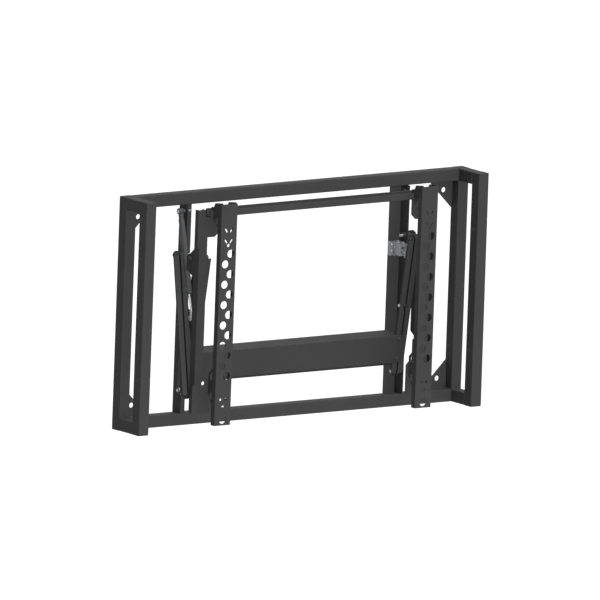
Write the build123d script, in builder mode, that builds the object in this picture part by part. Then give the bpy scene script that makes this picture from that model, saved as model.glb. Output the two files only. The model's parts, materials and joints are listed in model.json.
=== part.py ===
from build123d import *
import os
from math import asin, atan2, cos, degrees, hypot, radians, sin

os.makedirs("parts", exist_ok=True)

# Millimetres. The origin is the middle of the wall side, +Z is up and the display side faces -Y.
# A depth is a distance forward of the wall, so it is written as a negative Y.
# Every pair of pieces is drawn from a side of -1 for left and 1 for right.
sides = (("left", -1), ("right", 1))

# Welded frame of square tube, as wide and high as one 46 inch 16:9 display
frame_width = 1024.0
frame_height = 576.0
frame_depth = 114.0
tube_size = 30.0
tube_wall = 2.0
plug_length = 6.0
gusset_leg = 70.0
gusset_thickness = 4.0
wall_hole_diameter = 13.0
wall_hole_inset = 25.0
joining_hole_diameter = 9.0
joining_hole_spacing = 300.0

# Sheet metal and clearances
sheet = 3.0
arm_sheet = 2.5
rail_sheet = 2.5
running_clearance = 0.05
moving_clearance = 0.3
side_gap = 1.0

# Scissor: where its pins stand, and how far it opens
flange_outer = 333.0
top_pin_drop = 154.0
low_pin_rise = 86.0
rear_pin_depth = 24.0
front_pin_depth = 80.0
open_angle = 30.0
arm_width = 33.0
arm_depth = 22.0
arm_slot = 4.5
arm_opening = 14.0
pin_diameter = 8.0
round_sides = 12
spacer_diameter = 15.0
clip_diameter = 12.0
clip_thickness = 1.0
pin_end = 2.0
head_thickness = 5.0
hex_across_flats = 13.0
nut_thickness = 6.5
roller_diameter = 12.0

# Fixed uprights between the rear beams
fixed_web_width = 36.0
fixed_flange_depth = 36.0

# Torsion beam that ties the two inner arms
beam_height = 70.0
beam_flange = 44.0
beam_lip = 12.0
beam_top_along = 72.0
beam_end_inset = 7.0
beam_bolt_diameter = 6.0
beam_bolt_head = 3.0
beam_bolt_edge = 10.0

# Carriage that the scissor pushes forward
carriage_front = 108.0
channel_width = 22.0
channel_flange = 13.0
carriage_top_drop = 30.0
carriage_bottom_rise = 43.0
ear_reach = 42.0
ear_height = 54.0
corner_plate_width = 42.0
top_plate_height = 69.0
bottom_plate_height = 86.0
corner_plate_chamfer = 12.0
safety_hole_diameter = 10.0

# Bar that the display rails hang on
bar_size = 20.0
bar_top_drop = 26.0
bar_lip_drop = 4.0
bar_bolt_diameter = 6.0

# Display rails and their brackets
rail_spacing = 600.0
rail_width = 48.0
rail_flange = 12.0
rail_front = 166.0
rail_top_drop = 9.0
rail_bottom_rise = 20.0
vesa_height = 400.0
vesa_top_drop = 111.0
vesa_hole_diameter = 8.5
light_hole_diameter = 20.0
light_hole_pitch = 25.2
light_hole_count = 13
light_hole_top_drop = 132.0
light_hole_offset = 7.5
key_slot_length = 12.0
key_slot_width = 4.5
key_slot_angle = 35.0
small_hole_diameter = 6.5
tool_hole_diameter = 20.0
bracket_rear = 130.0
hook_height = 8.5
hook_bite = 9.0
hook_web_height = 30.0
hook_plate_steps = (20.0, 42.0, 62.0)
lower_bracket_lift = 50.0
lower_bracket_height = 102.0
plumb_screw_rise = 73.0
plumb_screw_diameter = 8.0
foot_diameter = 14.0

# Gas strut on the left, from the fixed upright to the outer arm
strut_reach = 9.5
strut_top_depth = 20.0
strut_top_drop = 47.0
strut_low_depth = 84.0
strut_low_drop = 300.0
ball_diameter = 10.0
socket_diameter = 16.0
socket_neck = 10.0
socket_width = 8.0
strut_tube_diameter = 15.0
strut_tube_wall = 1.5
strut_tube_length = 185.0
strut_rod_diameter = 6.0
strut_rod_length = 185.0
strut_neck = 18.0
guide_length = 10.0
guide_clearance = 0.5

# Push latch on the right upright
latch_width = 33.0
latch_height = 35.0
latch_base = 13.0
latch_drop = 187.5
snout_width = 22.0
snout_length = 30.0
latch_wall = 2.5
striker_wire = 5.0
striker_legs = 11.0
striker_plate_length = 22.0
striker_depth = 38.0
pawl_angle = 30.0
pawl_thickness = 5.0
pawl_pivot_depth = 20.0
pawl_pin_diameter = 5.0

# Worked out from the sizes above
half_width = frame_width / 2
top = frame_height / 2
inner_x = half_width - tube_size
inner_z = top - tube_size
flange_inner = flange_outer - sheet
inner_arm_outer = flange_inner - side_gap
outer_arm_inner = flange_outer + side_gap
web_half = arm_slot / 2 + arm_sheet
outer_arm_x = outer_arm_inner + arm_width / 2
inner_arm_x = inner_arm_outer - arm_width / 2
pin_height = frame_height - top_pin_drop - low_pin_rise
top_pin_z = top - top_pin_drop
low_pin_z = top_pin_z - pin_height
middle_z = (top_pin_z + low_pin_z) / 2
middle_depth = (rear_pin_depth + front_pin_depth) / 2
arm_length = hypot(pin_height, front_pin_depth - rear_pin_depth)
rest_angle = asin((front_pin_depth - rear_pin_depth) / arm_length)
slot_run = pin_height - arm_length * cos(rest_angle + radians(open_angle))
slot_width = roller_diameter + 2 * moving_clearance
pin_hole = pin_diameter + 2 * running_clearance
lean, stand = sin(rest_angle), cos(rest_angle)
carriage_rear = carriage_front - channel_flange
carriage_top = top - carriage_top_drop
carriage_bottom = carriage_bottom_rise - top
carriage_length = carriage_top - carriage_bottom
corner_plate_inner = flange_inner - corner_plate_width
screw_z = carriage_bottom + plumb_screw_rise
channel_outer = flange_inner + channel_width
bar_top = top - bar_top_drop
rail_top = top - rail_top_drop
rail_length = rail_top + top - rail_bottom_rise
rail_half = rail_spacing / 2
plate_half = rail_width / 2 - rail_sheet


def x_span(side, near, far):
    """Lowest X and length of a stretch between two distances from the middle."""
    return min(side * near, side * far), abs(far - near)


def x_rod(side, near, far, depth, z, diameter, mode=Mode.ADD):
    """Round bar along X."""
    start, length = x_span(side, near, far)
    with BuildSketch(Plane.YZ.offset(start)) as disc:
        with Locations((-depth, z)):
            Circle(diameter / 2)
    extrude(disc.sketch, amount=length, mode=mode)


def x_pin(side, near, far, depth, z, diameter, mode=Mode.ADD):
    """Pin along X or a hole for one, with many flats instead of a curve to stay light."""
    start, length = x_span(side, near, far)
    with BuildSketch(Plane.YZ.offset(start)) as outline:
        with Locations((-depth, z)):
            RegularPolygon(diameter / 2, round_sides, major_radius=mode is Mode.ADD)
    extrude(outline.sketch, amount=length, mode=mode)


def x_hex(side, near, far, depth, z):
    """Hexagonal head or nut along X."""
    start, length = x_span(side, near, far)
    with BuildSketch(Plane.YZ.offset(start)) as hexagon:
        with Locations((-depth, z)):
            RegularPolygon(hex_across_flats / 2, 6, major_radius=False)
    extrude(hexagon.sketch, amount=length)


def slot_cut(side, near, far, depth, low_z, run, width):
    """Upright slot through a side plate, from the pin's rest place up."""
    start, length = x_span(side, near, far)
    with BuildSketch(Plane.YZ.offset(start)) as slot:
        with Locations((-depth, low_z + run / 2)):
            SlotCenterToCenter(run + 2 * moving_clearance, width, rotation=90)
    extrude(slot.sketch, amount=length, mode=Mode.SUBTRACT)


def side_plate(side, near, far, points):
    """Plate across X, cut to an outline of depths and heights."""
    start, length = x_span(side, near, far)
    with BuildSketch(Plane.YZ.offset(start)) as outline:
        with BuildLine():
            Polyline(*[(-depth, z) for depth, z in points], close=True)
        make_face()
    extrude(outline.sketch, amount=length)


def square_tube(plane, length):
    """Square tube from a plane's origin, along its normal."""
    with BuildSketch(plane) as section:
        Rectangle(tube_size, tube_size)
        Rectangle(tube_size - 2 * tube_wall, tube_size - 2 * tube_wall, mode=Mode.SUBTRACT)
    extrude(section.sketch, amount=length)


def save(builder, name):
    builder.part.label = name
    export_step(builder.part, f"parts/{name}.step")


# Rear beams, between the rear posts
for name, level in (("top", 1), ("bottom", -1)):
    with BuildPart() as rear_beam:
        end = Plane(
            origin=(-inner_x, -tube_size / 2, level * (top - tube_size / 2)),
            x_dir=(0, 1, 0),
            z_dir=(1, 0, 0),
        )
        square_tube(end, 2 * inner_x)
    save(rear_beam, f"rear_{name}_beam")

# Posts at the wall and at the display side, with holes that join neighbouring frames
for name, depth in (("rear", tube_size / 2), ("front", frame_depth - tube_size / 2)):
    for side_name, side in sides:
        centre_x = side * (half_width - tube_size / 2)
        with BuildPart() as post:
            square_tube(Plane.XY.shift_origin((centre_x, -depth, 0)).offset(-top), frame_height)
            for level in (-1, 1):
                x_rod(
                    side,
                    half_width - tube_size,
                    half_width,
                    depth,
                    level * joining_hole_spacing / 2,
                    joining_hole_diameter,
                    mode=Mode.SUBTRACT,
                )
        save(post, f"{name}_post_{side_name}")

# Short members from each rear post to its front post
for name, level in (("top", 1), ("bottom", -1)):
    for side_name, side in sides:
        with BuildPart() as side_member:
            end = Plane(
                origin=(
                    side * (half_width - tube_size / 2),
                    -tube_size,
                    level * (top - tube_size / 2),
                ),
                x_dir=(1, 0, 0),
                z_dir=(0, -1, 0),
            )
            square_tube(end, frame_depth - 2 * tube_size)
        save(side_member, f"{name}_side_member_{side_name}")

# Plugs that close the posts' ends
with BuildPart() as end_plugs:
    for level in (-1, 1):
        with Locations(
            *[
                (side * (half_width - tube_size / 2), -depth, level * (top - plug_length / 2))
                for side in (-1, 1)
                for depth in (tube_size / 2, frame_depth - tube_size / 2)
            ]
        ):
            Box(tube_size - 2 * tube_wall, tube_size - 2 * tube_wall, plug_length)
save(end_plugs, "post_end_plugs")

# Corner gussets with the wall bolts' holes, flush with the wall side
for name, level in (("top", 1), ("bottom", -1)):
    for side_name, side in sides:
        with BuildPart() as gusset:
            with BuildSketch(Plane.XZ):
                with BuildLine():
                    Polyline(
                        (side * inner_x, level * inner_z),
                        (side * (inner_x - gusset_leg), level * inner_z),
                        (side * inner_x, level * (inner_z - gusset_leg)),
                        close=True,
                    )
                make_face()
                with Locations(
                    (side * (inner_x - wall_hole_inset), level * (inner_z - wall_hole_inset))
                ):
                    Circle(wall_hole_diameter / 2, mode=Mode.SUBTRACT)
            extrude(amount=gusset_thickness)
        save(gusset, f"gusset_{name}_{side_name}")

# Fixed uprights: an angle whose web lies on the wall side and whose flange carries the scissor
for side_name, side in sides:
    with BuildPart() as fixed_upright:
        with BuildSketch(Plane.XY.offset(-inner_z)):
            with BuildLine():
                outer, web_end = side * flange_outer, side * (flange_outer - fixed_web_width)
                Polyline(
                    (web_end, 0),
                    (outer, 0),
                    (outer, -fixed_flange_depth),
                    (outer - side * sheet, -fixed_flange_depth),
                    (outer - side * sheet, -sheet),
                    (web_end, -sheet),
                    close=True,
                )
            make_face()
        extrude(amount=2 * inner_z)
        corner = fixed_upright.edges().filter_by(Axis.Z).sort_by_distance((outer, 0, 0))[0]
        fillet(corner, sheet)
        for depth, z in ((rear_pin_depth, top_pin_z), (strut_top_depth, top - strut_top_drop)):
            x_pin(
                side, flange_inner, flange_outer, depth, z, pin_diameter, mode=Mode.SUBTRACT
            )
        slot_cut(
            side, flange_inner, flange_outer, rear_pin_depth, low_pin_z, slot_run, slot_width
        )
    save(fixed_upright, f"fixed_upright_{side_name}")


def arm_side_plane(start_x, slope):
    """Plane across X at the middle pin: local X runs down the arm, local Y to the rear."""
    return Plane(
        origin=(start_x, -middle_depth, middle_z),
        x_dir=(0, -slope * lean, -stand),
        z_dir=(1, 0, 0),
    )


def build_arm(centre_x, slope):
    """Hat channel open to the front between the end pins, with round ears on both its webs."""
    upper_pin = Plane(
        origin=(
            centre_x,
            -(middle_depth - slope * lean * arm_length / 2),
            middle_z + stand * arm_length / 2,
        ),
        x_dir=(1, 0, 0),
        z_dir=(0, -slope * lean, -stand),
    )
    with BuildSketch(upper_pin) as channel:
        with Locations((0, (arm_depth - arm_sheet) / 2)):
            Rectangle(arm_width, arm_sheet)
        Rectangle(2 * web_half, arm_depth)
        with Locations((0, arm_sheet)):
            Rectangle(arm_slot, arm_depth, mode=Mode.SUBTRACT)
    extrude(channel.sketch, amount=arm_length)
    pin_places = [(-arm_length / 2, 0), (arm_length / 2, 0)]
    for web_x in (centre_x - web_half, centre_x + arm_slot / 2):
        with BuildSketch(arm_side_plane(web_x, slope)) as ears:
            with Locations(*pin_places):
                RegularPolygon(arm_depth / 2, round_sides)
        extrude(ears.sketch, amount=arm_sheet)
    with BuildSketch(arm_side_plane(centre_x - web_half, slope)) as holes:
        with Locations((0, 0), *pin_places):
            RegularPolygon(pin_hole / 2, round_sides, major_radius=False)
    extrude(holes.sketch, amount=2 * web_half, mode=Mode.SUBTRACT)


# Outer arms: rear pin at the top, sliding pin at the bottom front
strut_x = flange_outer + strut_reach
strut_top_z = top - strut_top_drop
strut_low_z = top - strut_low_drop
lug_offset = Vector(0, middle_depth - strut_low_depth, strut_low_z - middle_z)
lug_along = lug_offset.dot(Vector(0, -lean, -stand))
lug_forward = -lug_offset.dot(Vector(0, stand, -lean))
for side_name, side in sides:
    with BuildPart() as outer_arm:
        build_arm(side * outer_arm_x, 1)
        if side < 0:
            lug_plane = arm_side_plane(-(outer_arm_inner + arm_sheet), 1)
            with BuildSketch(lug_plane):
                with BuildLine():
                    base = -(arm_depth / 2 - arm_sheet)
                    shoulder = -lug_forward
                    half_base, half_tip = 1.5 * socket_diameter, socket_diameter / 2
                    lower = Polyline(
                        (lug_along + half_tip, shoulder),
                        (lug_along + half_base, base),
                        (lug_along - half_base, base),
                        (lug_along - half_tip, shoulder),
                    )
                    ThreePointArc(
                        lower @ 0, (lug_along, shoulder - half_tip), lower @ 1
                    )
                make_face()
                with Locations((lug_along, shoulder)):
                    RegularPolygon(
                        pin_diameter / 2, round_sides, major_radius=False, mode=Mode.SUBTRACT
                    )
            extrude(amount=arm_sheet)
    save(outer_arm, f"outer_arm_{side_name}")

# Inner arms: front pin at the top, sliding pin at the bottom rear, an opening before the middle one
beam_bolt_x = inner_arm_x - (arm_width + arm_slot) / 4
beam_face = Plane(
    origin=(
        0,
        -(middle_depth + stand * (arm_depth / 2 + sheet)),
        middle_z - lean * (arm_depth / 2 + sheet),
    ),
    x_dir=(1, 0, 0),
    z_dir=(0, -stand, -lean),
)
beam_bolt_rows = (
    -(beam_top_along + beam_bolt_edge),
    -(beam_top_along + beam_height - beam_bolt_edge),
)


def beam_bolt_places(side):
    return [(side * beam_bolt_x, row) for row in beam_bolt_rows]


for side_name, side in sides:
    with BuildPart() as inner_arm:
        build_arm(side * inner_arm_x, -1)
        with BuildSketch(beam_face.offset(-sheet)):
            with Locations((side * inner_arm_x, 0)):
                RegularPolygon(arm_opening / 2, round_sides)
        extrude(amount=-arm_sheet, mode=Mode.SUBTRACT)
    save(inner_arm, f"inner_arm_{side_name}")

# Torsion beam: its web lies on the inner arms, its flange and lip run between them
beam_half = flange_inner - beam_end_inset
flange_half = inner_arm_outer - arm_width - moving_clearance
web_front = -(arm_depth / 2 + sheet)
web_low = beam_top_along + beam_height
with BuildPart() as torsion_beam:
    with BuildSketch(arm_side_plane(-beam_half, -1)):
        with Locations((beam_top_along + beam_height / 2, web_front + sheet / 2)):
            Rectangle(beam_height, sheet)
    extrude(amount=2 * beam_half)
    with BuildSketch(arm_side_plane(-flange_half, -1)):
        with Locations((beam_top_along + sheet / 2, web_front + beam_flange / 2)):
            Rectangle(sheet, beam_flange)
        with BuildLine():
            Polyline(
                (web_low - sheet, web_front),
                (web_low, web_front),
                (web_low + beam_lip * sin(radians(45)), web_front + beam_lip * sin(radians(45))),
                (
                    web_low + (beam_lip - sheet) * sin(radians(45)) - sheet / 2,
                    web_front + (beam_lip + sheet) * sin(radians(45)),
                ),
                (web_low - sheet, web_front + sheet),
                close=True,
            )
        make_face()
    extrude(amount=2 * flange_half)
save(torsion_beam, "torsion_beam")

# Button heads of the screws that hold the torsion beam to the inner arms
with BuildPart() as beam_screws:
    with BuildSketch(beam_face):
        with Locations(*beam_bolt_places(-1), *beam_bolt_places(1)):
            RegularPolygon(0.9 * beam_bolt_diameter, round_sides)
    extrude(amount=beam_bolt_head)
save(beam_screws, "torsion_beam_screws")

# Carriage uprights: a shallow channel, with ears and a slotted plate on its flanges
for side_name, side in sides:
    with BuildPart() as carriage_upright:
        near, far = side * flange_inner, side * channel_outer
        with BuildSketch(Plane.XY.offset(carriage_bottom)):
            with BuildLine():
                Polyline(
                    (near, -carriage_rear),
                    (near, -carriage_front),
                    (far, -carriage_front),
                    (far, -carriage_rear),
                    (far - side * sheet, -carriage_rear),
                    (far - side * sheet, -carriage_front + sheet),
                    (near + side * sheet, -carriage_front + sheet),
                    (near + side * sheet, -carriage_rear),
                    close=True,
                )
            make_face()
        extrude(amount=carriage_length)
        ear_back = carriage_front - ear_reach
        pivot_ear = [
            (carriage_rear, top_pin_z + ear_height / 2),
            (ear_back + ear_height / 4, top_pin_z + ear_height / 4),
            (ear_back, top_pin_z + ear_height / 8),
            (ear_back, top_pin_z - ear_height / 2),
            (carriage_rear, top_pin_z - 0.8 * ear_height),
            (carriage_rear + sheet, top_pin_z - 0.8 * ear_height),
            (carriage_rear + sheet, top_pin_z + ear_height / 2),
        ]
        side_plate(side, flange_inner, flange_outer, pivot_ear)
        side_plate(side, channel_outer - sheet, channel_outer, pivot_ear)
        margin = slot_width / 2 + sheet
        plate_top = low_pin_z + slot_run + slot_width
        slide_plate = [
            (carriage_rear + sheet, plate_top + margin),
            (carriage_rear, plate_top + margin),
            (front_pin_depth - margin, plate_top),
            (front_pin_depth - margin, low_pin_z - slot_width),
            (carriage_rear, low_pin_z - slot_width - margin),
            (carriage_rear + sheet, low_pin_z - slot_width - margin),
        ]
        side_plate(side, flange_inner, flange_outer, slide_plate)
        x_pin(
            side, flange_inner, channel_outer, front_pin_depth, top_pin_z,
            pin_diameter, mode=Mode.SUBTRACT,
        )
        slot_cut(
            side, flange_inner, flange_outer, front_pin_depth, low_pin_z, slot_run, slot_width
        )
    save(carriage_upright, f"carriage_upright_{side_name}")

# Corner plates that widen the carriage behind the bar and behind the lower brackets
for name, level_top, plate_height, cut_level in (
    ("top", carriage_top, top_plate_height, -1),
    ("bottom", carriage_bottom + bottom_plate_height, bottom_plate_height, 1),
):
    for side_name, side in sides:
        with BuildPart() as corner_plate:
            centre_x = side * (corner_plate_inner + flange_inner) / 2
            centre_z = level_top - plate_height / 2
            with BuildSketch(Plane.XZ.offset(carriage_front - sheet)):
                with Locations((centre_x, centre_z)):
                    plate = Rectangle(flange_inner - corner_plate_inner, plate_height)
                inner_corner = plate.vertices().sort_by_distance(
                    (side * corner_plate_inner, -carriage_front, centre_z + cut_level * plate_height)
                )[0]
                chamfer(inner_corner, corner_plate_chamfer)
                if name == "bottom":
                    with Locations((side * (flange_inner - safety_hole_diameter), screw_z)):
                        RegularPolygon(safety_hole_diameter / 2, round_sides, mode=Mode.SUBTRACT)
            extrude(amount=sheet)
        save(corner_plate, f"{name}_corner_plate_{side_name}")

# Hook bar: a channel open at the top, its front lip a little lower
bar_front = carriage_front + bar_size
bar_bolt_z = bar_top - bar_size / 2
bar_bolt_x = (corner_plate_inner + flange_inner) / 2
with BuildPart() as hook_bar:
    with BuildSketch(Plane.YZ.offset(-flange_inner)):
        with BuildLine():
            Polyline(
                (-carriage_front, bar_top),
                (-carriage_front, bar_top - bar_size),
                (-bar_front, bar_top - bar_size),
                (-bar_front, bar_top - bar_lip_drop),
                (-bar_front + sheet, bar_top - bar_lip_drop),
                (-bar_front + sheet, bar_top - bar_size + sheet),
                (-carriage_front - sheet, bar_top - bar_size + sheet),
                (-carriage_front - sheet, bar_top),
                close=True,
            )
        make_face()
    extrude(amount=2 * flange_inner)
    bends = hook_bar.edges().filter_by(Axis.X).group_by(Axis.Z)[0]
    fillet(bends, sheet - 1)
save(hook_bar, "hook_bar")

# Heads of the screws that hold the bar to the carriage
with BuildPart() as bar_screws:
    with BuildSketch(Plane.XZ.offset(carriage_front + sheet)):
        with Locations((-bar_bolt_x, bar_bolt_z), (bar_bolt_x, bar_bolt_z)):
            RegularPolygon(0.9 * bar_bolt_diameter, round_sides)
    extrude(amount=bar_bolt_diameter / 2)
save(bar_screws, "hook_bar_screws")

# Display rails: shallow channels with staggered lightening holes and the display's bolt holes
for side_name, side in sides:
    rail_x = side * rail_half
    with BuildPart() as display_rail:
        with BuildSketch(Plane.XY.offset(rail_top - rail_length)):
            with Locations((rail_x, -rail_front + rail_flange / 2)):
                Rectangle(rail_width, rail_flange)
            with Locations((rail_x, -rail_front + rail_flange / 2 + rail_sheet)):
                Rectangle(rail_width - 2 * rail_sheet, rail_flange, mode=Mode.SUBTRACT)
        extrude(amount=rail_length)
        with BuildSketch(Plane.XZ.offset(rail_front - rail_sheet)):
            for index in range(light_hole_count):
                column = 1 if index % 2 == 0 else -1
                with Locations(
                    (
                        rail_x + column * light_hole_offset,
                        top - light_hole_top_drop - index * light_hole_pitch,
                    )
                ):
                    RegularPolygon(light_hole_diameter / 2, round_sides)
            for drop in (top_plate_height + 5, vesa_top_drop - 10):
                for column in (-1, 1):
                    with Locations((rail_x + column * light_hole_offset, top - drop)):
                        Rectangle(
                            key_slot_length, key_slot_width, rotation=90 - column * key_slot_angle
                        )
            with Locations(
                (rail_x, top - vesa_top_drop), (rail_x, top - vesa_top_drop - vesa_height)
            ):
                Circle(vesa_hole_diameter / 2)
            with Locations(
                (rail_x - light_hole_offset, top - vesa_top_drop - vesa_height + 19),
                (rail_x + light_hole_offset, top - vesa_top_drop - vesa_height + 19),
            ):
                RegularPolygon(small_hole_diameter / 2, 8)
            with Locations((rail_x, rail_top - rail_length + tool_hole_diameter * 0.7)):
                RegularPolygon(tool_hole_diameter / 2, round_sides)
        extrude(amount=rail_sheet, mode=Mode.SUBTRACT)
    save(display_rail, f"display_rail_{side_name}")

# Upper brackets: two side plates with a hook over the bar's lip, joined behind the rail
rail_back = rail_front - rail_sheet
lip_rear = bar_front - sheet - moving_clearance
lip_front = bar_front + moving_clearance
hook_back = lip_rear - hook_bite + sheet
throat_z = bar_top - bar_lip_drop + moving_clearance
hook_outline = [
    (rail_back, rail_top + sheet),
    (lip_front + 2 * sheet, rail_top - 1),
    (lip_front, throat_z + hook_height),
    (hook_back, throat_z + hook_height),
    (hook_back, throat_z - hook_bite),
    (lip_rear, throat_z - hook_bite),
    (lip_rear, throat_z),
    (lip_front, throat_z),
    (lip_front, throat_z - hook_plate_steps[0]),
    (rail_front - 16, throat_z - hook_plate_steps[1]),
    (rail_front - rail_flange, throat_z - hook_plate_steps[2]),
    (rail_back, throat_z - hook_plate_steps[2]),
]
hook_hole = (148.0, top - 52.0)
for side_name, side in sides:
    rail_x = side * rail_half
    with BuildPart() as hook_bracket:
        for plate_x in (rail_x - plate_half, rail_x + plate_half - sheet):
            side_plate(1, plate_x, plate_x + sheet, hook_outline)
        with Locations((rail_x, -rail_back + sheet / 2, top - 40)):
            Box(2 * plate_half, sheet, hook_web_height)
        x_pin(
            1, rail_x - plate_half, rail_x + plate_half, *hook_hole,
            tool_hole_diameter, mode=Mode.SUBTRACT,
        )
    save(hook_bracket, f"upper_hook_bracket_{side_name}")

# Lower brackets: the same pair of plates, with a nut plate for the plumb screw
bracket_top = screw_z + lower_bracket_lift
bracket_bottom = bracket_top - lower_bracket_height
lower_outline = [
    (rail_back, bracket_top),
    (rail_front - rail_flange, bracket_top),
    (bracket_rear, bracket_top - 22),
    (bracket_rear, bracket_bottom + 32),
    (bracket_rear + 17, bracket_bottom + 9),
    (rail_front - rail_flange, bracket_bottom),
    (rail_back, bracket_bottom),
]
lower_holes = ((147.0, screw_z + 23), (147.0, screw_z - 24))
for side_name, side in sides:
    rail_x = side * rail_half
    with BuildPart() as lower_bracket:
        for plate_x in (rail_x - plate_half, rail_x + plate_half - sheet):
            side_plate(1, plate_x, plate_x + sheet, lower_outline)
        with Locations((rail_x, -bracket_rear - sheet / 2, screw_z)):
            Box(2 * plate_half, sheet, 24)
        with Locations((rail_x, -rail_back + sheet / 2, screw_z)):
            Box(2 * plate_half, sheet, 20)
        for hole in lower_holes:
            x_pin(
                1, rail_x - plate_half, rail_x + plate_half, *hole,
                tool_hole_diameter, mode=Mode.SUBTRACT,
            )
        with BuildSketch(Plane.XZ.offset(bracket_rear)):
            with Locations((rail_x, screw_z)):
                RegularPolygon(
                    plumb_screw_diameter / 2 + running_clearance, round_sides, major_radius=False
                )
        extrude(amount=sheet, mode=Mode.SUBTRACT)
    save(lower_bracket, f"lower_bracket_{side_name}")

# Plumb screws: a foot on the carriage's corner plate and a hexagon inside the bracket
for side_name, side in sides:
    rail_x = side * rail_half
    foot_plane = Plane.XZ.offset(carriage_front + moving_clearance).shift_origin(
        (rail_x, -carriage_front - moving_clearance, screw_z)
    )
    with BuildPart() as plumb_screw:
        with BuildSketch(foot_plane):
            RegularPolygon(foot_diameter / 2, round_sides)
        extrude(amount=4)
        with BuildSketch(foot_plane):
            RegularPolygon(plumb_screw_diameter / 2, round_sides)
        extrude(amount=bracket_rear - carriage_front + 16)
        with BuildSketch(foot_plane.offset(bracket_rear - carriage_front + 8)):
            RegularPolygon(hex_across_flats / 2, 6, major_radius=False)
        extrude(amount=nut_thickness)
    save(plumb_screw, f"plumb_screw_{side_name}")

# Pivot bolts along X: a pin between a nut and a head that are hidden by the arms' front flanges
outer_near, outer_far = outer_arm_x - web_half, outer_arm_x + web_half
inner_near, inner_far = inner_arm_x - web_half, inner_arm_x + web_half


def bolt(side, nut_near, nut_far, head_near, head_end, depth, z):
    """Pin from its nut to its head, both given as distances from the middle."""
    x_pin(side, nut_near, head_near, depth, z, pin_diameter)
    x_hex(side, head_near, head_end, depth, z)
    x_hex(side, nut_near, nut_far, depth, z)


def spacer(side, near, far, depth, z):
    """Collar on a pin that holds two pieces apart."""
    x_pin(side, near, far, depth, z, spacer_diameter)


with BuildPart() as rear_pivot_bolts:
    head = outer_far + moving_clearance
    for side in (-1, 1):
        bolt(
            side, flange_inner - nut_thickness, flange_inner,
            head, head + head_thickness, rear_pin_depth, top_pin_z,
        )
        spacer(side, flange_outer, outer_near - moving_clearance, rear_pin_depth, top_pin_z)
save(rear_pivot_bolts, "rear_pivot_bolts")

with BuildPart() as centre_pivot_bolts:
    for side in (-1, 1):
        bolt(
            side, inner_near - nut_thickness, inner_near,
            head, head + head_thickness, middle_depth, middle_z,
        )
        spacer(side, inner_far, outer_near - moving_clearance, middle_depth, middle_z)
save(centre_pivot_bolts, "centre_pivot_bolts")

with BuildPart() as front_pivot_bolts:
    nut_face = inner_near - moving_clearance
    for side in (-1, 1):
        bolt(
            side, nut_face - nut_thickness, nut_face,
            channel_outer, channel_outer + head_thickness, front_pin_depth, top_pin_z,
        )
        spacer(side, inner_far + moving_clearance, flange_inner, front_pin_depth, top_pin_z)
save(front_pivot_bolts, "front_pivot_bolts")

# Bottom rear pins and rollers, which slide in the fixed uprights and end in a clip
roller_near, roller_far = flange_inner - moving_clearance, flange_outer + moving_clearance
with BuildPart() as rear_slide_bolts:
    for side in (-1, 1):
        x_hex(side, inner_near - head_thickness, inner_near, rear_pin_depth, low_pin_z)
        x_pin(
            side, inner_near, roller_far + clip_thickness + pin_end,
            rear_pin_depth, low_pin_z, pin_diameter,
        )
        x_pin(
            side, roller_far, roller_far + clip_thickness,
            rear_pin_depth, low_pin_z, clip_diameter,
        )
        spacer(side, inner_far, roller_near, rear_pin_depth, low_pin_z)
save(rear_slide_bolts, "rear_slide_bolts")


def slide_roller(side, depth):
    """Nylon roller that rides in a slot."""
    x_pin(side, roller_near, roller_far, depth, low_pin_z, roller_diameter)
    x_pin(side, roller_near, roller_far, depth, low_pin_z, pin_hole, mode=Mode.SUBTRACT)


with BuildPart() as rear_slide_rollers:
    for side in (-1, 1):
        slide_roller(side, rear_pin_depth)
save(rear_slide_rollers, "rear_slide_rollers")

# Bottom front bolts and rollers, which slide in the carriage
for side_name, side in sides:
    with BuildPart() as front_slide_bolt:
        bolt(
            side, roller_near - nut_thickness, roller_near,
            outer_far, outer_far + head_thickness, front_pin_depth, low_pin_z,
        )
        spacer(side, roller_far, outer_near, front_pin_depth, low_pin_z)
    save(front_slide_bolt, f"front_slide_bolt_{side_name}")

    with BuildPart() as front_slide_roller:
        slide_roller(side, front_pin_depth)
    save(front_slide_roller, f"front_slide_roller_{side_name}")

# Gas strut
strut_axis = Vector(0, strut_top_depth - strut_low_depth, strut_low_z - strut_top_z)
strut_length = strut_axis.length
top_ball = Plane(
    origin=(-strut_x, -strut_top_depth, strut_top_z), x_dir=(1, 0, 0), z_dir=strut_axis
)
low_ball = Plane(
    origin=(-strut_x, -strut_low_depth, strut_low_z), x_dir=(1, 0, 0), z_dir=-strut_axis
)


def ball_stud(depth, z, near, far):
    """Stud through a plate towards the left, with a neck and the joint's head."""
    head_start = strut_x - ball_diameter / 2
    x_pin(-1, near, far, depth, z, pin_diameter)
    x_pin(-1, far, head_start, depth, z, strut_rod_diameter)
    x_pin(-1, head_start, strut_x + ball_diameter / 2, depth, z, ball_diameter)


def ball_socket(plane, depth, z):
    """Socket over the stud's head, open towards the plate, with a neck along the strut."""
    bore_end = strut_x + ball_diameter / 2 + running_clearance
    bore = ball_diameter + 2 * running_clearance
    x_pin(
        -1, strut_x - socket_width / 2, bore_end + strut_tube_wall, depth, z, socket_diameter
    )
    with BuildSketch(plane) as neck:
        RegularPolygon(socket_neck / 2, round_sides)
    extrude(neck.sketch, amount=strut_neck)
    x_pin(-1, strut_x - socket_diameter / 2, bore_end, depth, z, bore, mode=Mode.SUBTRACT)


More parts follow.
